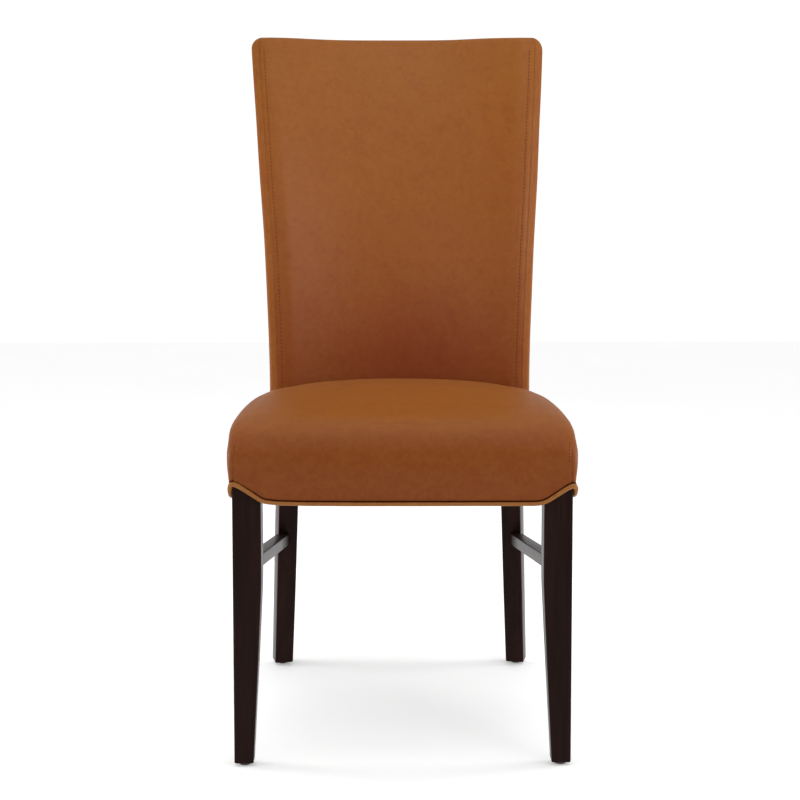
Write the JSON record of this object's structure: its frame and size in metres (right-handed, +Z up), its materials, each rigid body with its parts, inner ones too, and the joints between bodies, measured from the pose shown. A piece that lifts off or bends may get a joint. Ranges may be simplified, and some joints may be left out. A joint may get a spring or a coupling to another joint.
{
  "type": "parsons chair",
  "caption": "Upholstered leather dining chair with a tall curved back, piped seat, tapered front legs, swept rear legs and side stretchers.",
  "frame": {"origin": "on the floor under the middle of the chair: centre of the bounding box, bottom of the four glides", "axes": "+Z up, +X to the right seen from the front, the chair faces -Y"},
  "size_m": [0.4638, 0.6414, 1.008],
  "materials": {
    "lacquered_wood": "hardwood stained espresso, almost black, under a clear gloss lacquer",
    "bare_wood": "planed beech, unfinished",
    "plywood": "thin bent plywood, unfinished",
    "leather": "smooth full-grain cognac leather, satin, fine grain with a soft pull-up variation",
    "piping": "cord piping in the same leather, a little lighter where it is stretched round the cord",
    "foam": "cut polyurethane foam, cream",
    "wadding": "polyester wadding, off-white",
    "webbing": "woven elastic upholstery webbing, dark grey",
    "dust_cloth": "black non-woven cloth",
    "screw_steel": "zinc-plated wood screws",
    "glide_nylon": "nail-in nylon glides, dark brown"
  },
  "bodies": {
    "root": {"front_leg_right": "lacquered_wood", "front_leg_left": "lacquered_wood", "rear_post_right": "lacquered_wood", "rear_post_left": "lacquered_wood", "side_stretcher_right": "lacquered_wood", "side_stretcher_left": "lacquered_wood", "front_rail": "bare_wood", "rear_rail": "bare_wood", "lower_back_rail": "bare_wood", "crest_rail": "bare_wood", "side_rail_right": "bare_wood", "side_rail_left": "bare_wood", "front_corner_block_right": "bare_wood", "front_corner_block_left": "bare_wood", "rear_corner_block_right": "bare_wood", "rear_corner_block_left": "bare_wood", "back_board": "plywood", "seat_cover": "leather", "back_front_panel": "leather", "side_gusset_right": "leather", "side_gusset_left": "leather", "back_outer_panel": "leather", "seat_welt": "piping", "seat_foam": "foam", "back_foam": "foam", "front_wadding": "wadding", "side_wadding_right": "wadding", "side_wadding_left": "wadding", "post_wadding_right": "wadding", "post_wadding_left": "wadding", "crest_wadding": "wadding", "seat_strap_long_1": "webbing", "seat_strap_long_2": "webbing", "seat_strap_long_3": "webbing", "seat_strap_cross_1": "webbing", "seat_strap_cross_2": "webbing", "seat_strap_cross_3": "webbing", "back_strap_1": "webbing", "back_strap_2": "webbing", "back_strap_3": "webbing", "dust_cover": "dust_cloth", "front_block_screw_a_right": "screw_steel", "front_block_screw_a_left": "screw_steel", "front_block_screw_b_right": "screw_steel", "front_block_screw_b_left": "screw_steel", "rear_block_screw_a_right": "screw_steel", "rear_block_screw_a_left": "screw_steel", "rear_block_screw_b_right": "screw_steel", "rear_block_screw_b_left": "screw_steel", "front_glide_right": "glide_nylon", "front_glide_left": "glide_nylon", "rear_glide_right": "glide_nylon", "rear_glide_left": "glide_nylon"}
  },
  "joints": []
}
